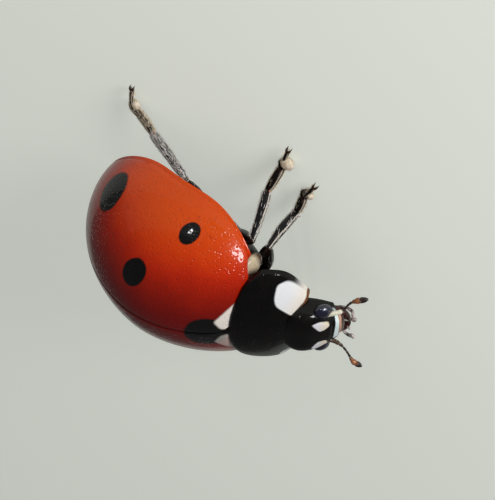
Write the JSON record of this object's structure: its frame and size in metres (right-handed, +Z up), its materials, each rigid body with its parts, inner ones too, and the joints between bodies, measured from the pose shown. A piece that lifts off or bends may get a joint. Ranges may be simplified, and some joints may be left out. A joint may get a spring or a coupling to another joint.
{
  "type": "seven-spot ladybird",
  "caption": "Life-size still model of a red ladybird with black spots, standing on its feet with its head bent down, feelers spread and one hind leg stretched back.",
  "frame": {"origin": "on the floor, under the middle of the animal's bounding box", "axes": "+X the way the animal faces, +Y its left side, +Z up"},
  "size_m": [0.0082, 0.0076, 0.004],
  "materials": {
    "wing_case": "glossy orange-red wing cases with soft-edged black spots and a pale patch at the base",
    "black_cuticle": "glossy black cuticle with fine pits and white front corners on the shield",
    "underside": "satin black with short pale hairs",
    "eye": "glossy black, finely faceted",
    "pale_plate": "cream cuticle",
    "mouthparts": "dark red-brown, with a pale lip",
    "antenna": "brown segments with a darker club",
    "leg": "glossy black with fine pale hairs and golden foot pads"
  },
  "bodies": {
    "root": {"abdomen": "underside", "antenna_left": "antenna", "antenna_right": "antenna", "elytron_left": "wing_case", "elytron_right": "wing_case", "eye_left": "eye", "eye_right": "eye", "head": "black_cuticle", "labrum": "mouthparts", "leg_front_left_femur": "leg", "leg_front_left_tarsus": "leg", "leg_front_left_tibia": "leg", "leg_front_right_femur": "leg", "leg_front_right_tarsus": "leg", "leg_front_right_tibia": "leg", "leg_hind_left_femur": "leg", "leg_hind_left_tarsus": "leg", "leg_hind_left_tibia": "leg", "leg_hind_right_femur": "leg", "leg_hind_right_tarsus": "leg", "leg_hind_right_tibia": "leg", "leg_middle_left_femur": "leg", "leg_middle_left_tarsus": "leg", "leg_middle_left_tibia": "leg", "leg_middle_right_femur": "leg", "leg_middle_right_tarsus": "leg", "leg_middle_right_tibia": "leg", "mandibles": "mouthparts", "maxillary_palp_left": "mouthparts", "maxillary_palp_right": "mouthparts", "mesepimeron_left": "pale_plate", "mesepimeron_right": "pale_plate", "pronotum": "black_cuticle", "prothorax": "underside", "scutellum": "black_cuticle", "thorax": "underside"}
  },
  "joints": []
}
